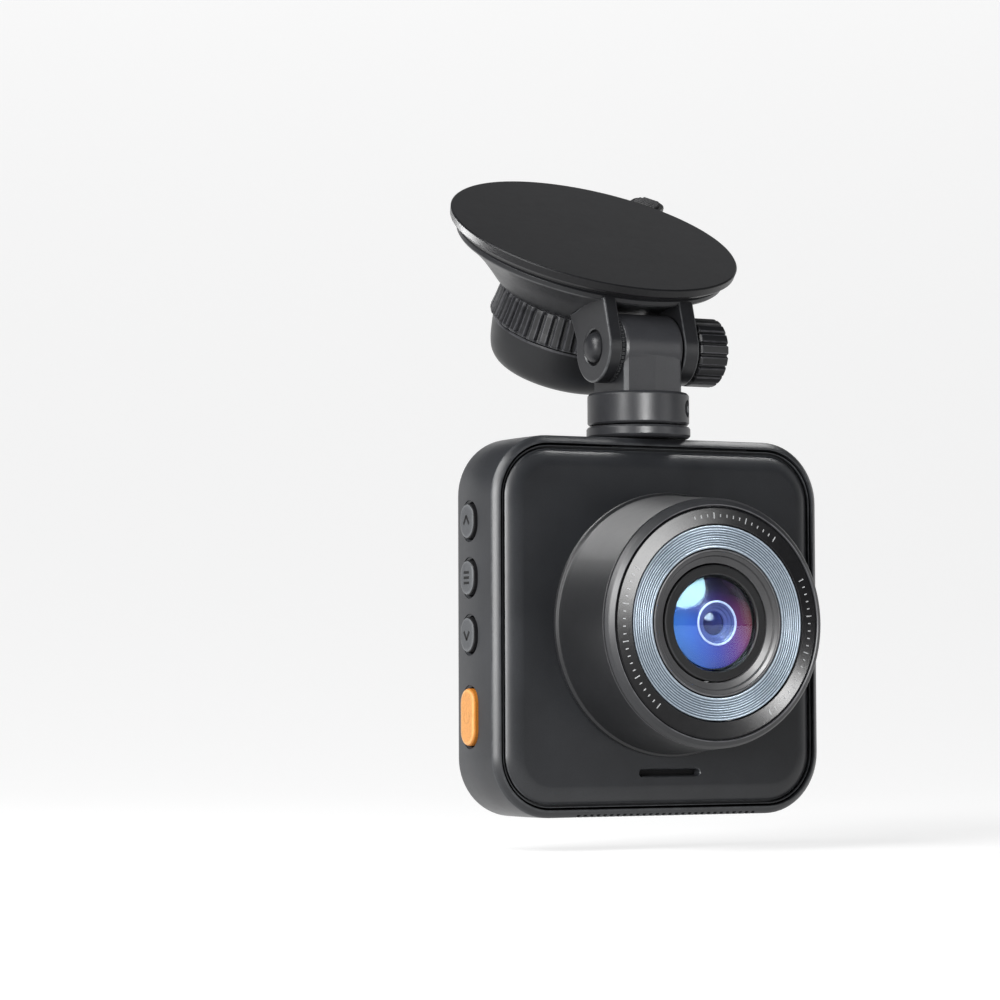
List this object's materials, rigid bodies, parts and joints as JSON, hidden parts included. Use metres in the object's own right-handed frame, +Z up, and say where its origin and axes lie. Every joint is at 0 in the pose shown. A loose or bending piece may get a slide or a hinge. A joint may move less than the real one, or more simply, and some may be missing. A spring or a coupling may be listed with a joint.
{
  "type": "dash camera",
  "caption": "Square dash camera with a large round lens, side buttons and rear screen, hung by a slide-on foot from a swivelling, tilting windscreen suction mount.",
  "frame": {"origin": "centre of the flat suction face that sits on the windscreen", "axes": "+Z up, +X to the right seen from the lens side, +Y away from the lens towards the screen; the suction face leans back 28.47 degrees"},
  "size_m": [0.0763, 0.0753, 0.1351],
  "materials": {
    "housing_plastic": "satin fine grain",
    "barrel_plastic": "satin",
    "gloss_black": "polished black",
    "ring_metal": "turned blue-grey",
    "lens_glass": "coated optical glass",
    "lens_black": "matt black",
    "button_grey": "satin grey",
    "power_orange": "satin orange",
    "screen_glass_gloss": "polished black",
    "screen_lit": "lit display",
    "mount_plastic": "fine grain",
    "cup_rubber": "smooth soft vinyl",
    "grip_plastic": "fine grain",
    "steel": "bright",
    "black_steel": "blackened",
    "brass": "machined",
    "board_green": "solder mask",
    "chip_black": "moulded",
    "cell_silver": "foil and plated steel",
    "pad_grey": "soft pad",
    "filter_glass": "filter glass"
  },
  "bodies": {
    "holder": {"cup_frame": "mount_plastic", "suction_cup": "cup_rubber", "pivot_bolt": "black_steel", "detent_ring": "mount_plastic", "clamp_washer": "steel"},
    "neck": {"swivel_neck": "mount_plastic", "retaining_pin": "steel"},
    "foot": {"mount_foot": "mount_plastic"},
    "camera": {"rear_housing": "housing_plastic", "front_cover": "housing_plastic", "lens_barrel": "barrel_plastic", "lens_trim_ring": "gloss_black", "lens_face_plate": "gloss_black", "grooved_ring": "ring_metal", "lens_inner_cone": "lens_black", "lens_retainer_ring": "lens_black", "front_lens": "lens_glass", "lens_holder": "lens_black", "aperture_ring": "steel", "lens_element_2": "lens_glass", "lens_element_3": "lens_glass", "ir_filter": "filter_glass", "image_sensor": "chip_black", "sensor_board": "board_green", "main_board": "board_green", "processor_chip": "chip_black", "thermal_pad": "pad_grey", "heat_spreader": "cell_silver", "battery": "cell_silver", "speaker": "chip_black", "microphone": "cell_silver", "card_socket": "cell_silver", "usb_socket": "steel", "button_board": "board_green", "switch_up": "cell_silver", "switch_menu": "cell_silver", "switch_down": "cell_silver", "switch_power": "cell_silver", "lcd_frame": "steel", "lcd_panel": "screen_lit", "screen_glass": "screen_glass_gloss", "case_screw_1": "steel", "case_screw_2": "steel", "case_screw_3": "steel", "case_screw_4": "steel"},
    "clamp_nut": {"thumb_nut": "grip_plastic", "nut_insert": "brass"},
    "twist_grip": {"twist_ring": "grip_plastic", "ring_cap": "grip_plastic"},
    "stem": {"draw_stem": "grip_plastic"},
    "key_up": {"button_up": "button_grey"},
    "key_menu": {"button_menu": "button_grey"},
    "key_down": {"button_down": "button_grey"},
    "key_power": {"button_power": "power_orange"},
    "card": {"memory_card": "chip_black"}
  },
  "joints": [
    {"name": "mount_tilt", "type": "hinge", "parent": "holder", "child": "neck", "pos_m": [0, -0.0181, -0.02607], "axis": [1, 0, 0], "range_deg": [-80, 28]},
    {"name": "camera_swivel", "type": "hinge", "parent": "neck", "child": "foot", "pos_m": [0, -0.0181, -0.04187], "axis": [0, 0, 1], "range_deg": [-180, 180]},
    {"name": "foot_slide", "type": "slide", "parent": "foot", "child": "camera", "axis": [-1, 0, 0], "range_m": [0, 0.0132]},
    {"name": "thumb_nut_turn", "type": "hinge", "parent": "holder", "child": "clamp_nut", "pos_m": [0.0138, -0.0181, -0.02607], "axis": [1, 0, 0], "range_deg": [-360, 360]},
    {"name": "twist_ring_turn", "type": "hinge", "parent": "holder", "child": "twist_grip", "pos_m": [0, 0, 0], "axis": [0, -0.4767, 0.8791], "range_deg": [0, 90]},
    {"name": "draw_stem_pull", "type": "slide", "parent": "holder", "child": "stem", "axis": [0, 0.4767, -0.8791], "range_m": [0, 0.00252]},
    {"name": "card_slide", "type": "slide", "parent": "camera", "child": "card", "axis": [1, 0, 0], "range_m": [0, 0.012]},
    {"name": "press_up", "type": "slide", "parent": "camera", "child": "key_up", "axis": [1, 0, 0], "range_m": [0, 0.0004], "stiffness_N_per_m": 900},
    {"name": "press_menu", "type": "slide", "parent": "camera", "child": "key_menu", "axis": [1, 0, 0], "range_m": [0, 0.0004], "stiffness_N_per_m": 900},
    {"name": "press_down", "type": "slide", "parent": "camera", "child": "key_down", "axis": [1, 0, 0], "range_m": [0, 0.0004], "stiffness_N_per_m": 900},
    {"name": "press_power", "type": "slide", "parent": "camera", "child": "key_power", "axis": [1, 0, 0], "range_m": [0, 0.0004], "stiffness_N_per_m": 900}
  ],
  "couplings": [
    {"joint": "draw_stem_pull", "follows": "twist_ring_turn", "m_per_rad": 0.00159}
  ]
}
